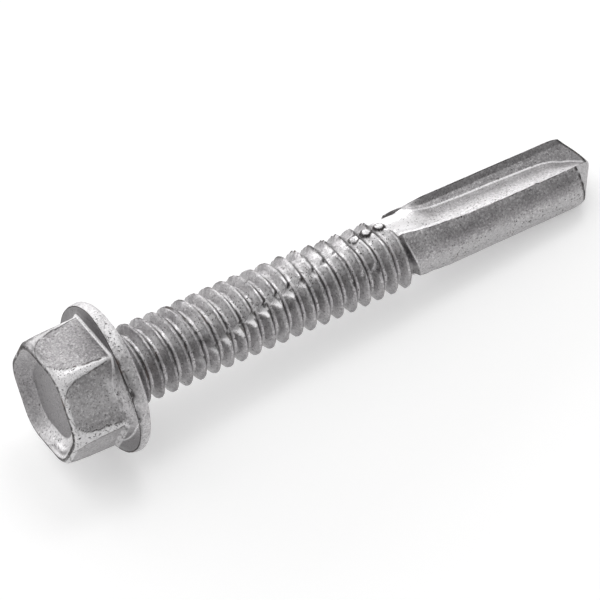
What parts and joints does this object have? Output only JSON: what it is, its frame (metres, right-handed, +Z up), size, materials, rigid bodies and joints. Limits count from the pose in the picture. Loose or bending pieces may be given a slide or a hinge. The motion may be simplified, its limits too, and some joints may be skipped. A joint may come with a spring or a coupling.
{
  "type": "self drilling screw",
  "caption": "Self drilling screw with a dished hex washer head, a fine rolled thread and a fluted drill point.",
  "frame": {"origin": "on the ground under the middle of the screw, which lies on its flange rim and its drill point", "axes": "+X along the screw towards its point, which leans down about 5 degrees; +Z up"},
  "size_m": [0.0428, 0.0106, 0.0106],
  "materials": {
    "zinc": "dull zinc plated steel"
  },
  "bodies": {
    "root": {"screw": "zinc"}
  },
  "joints": []
}
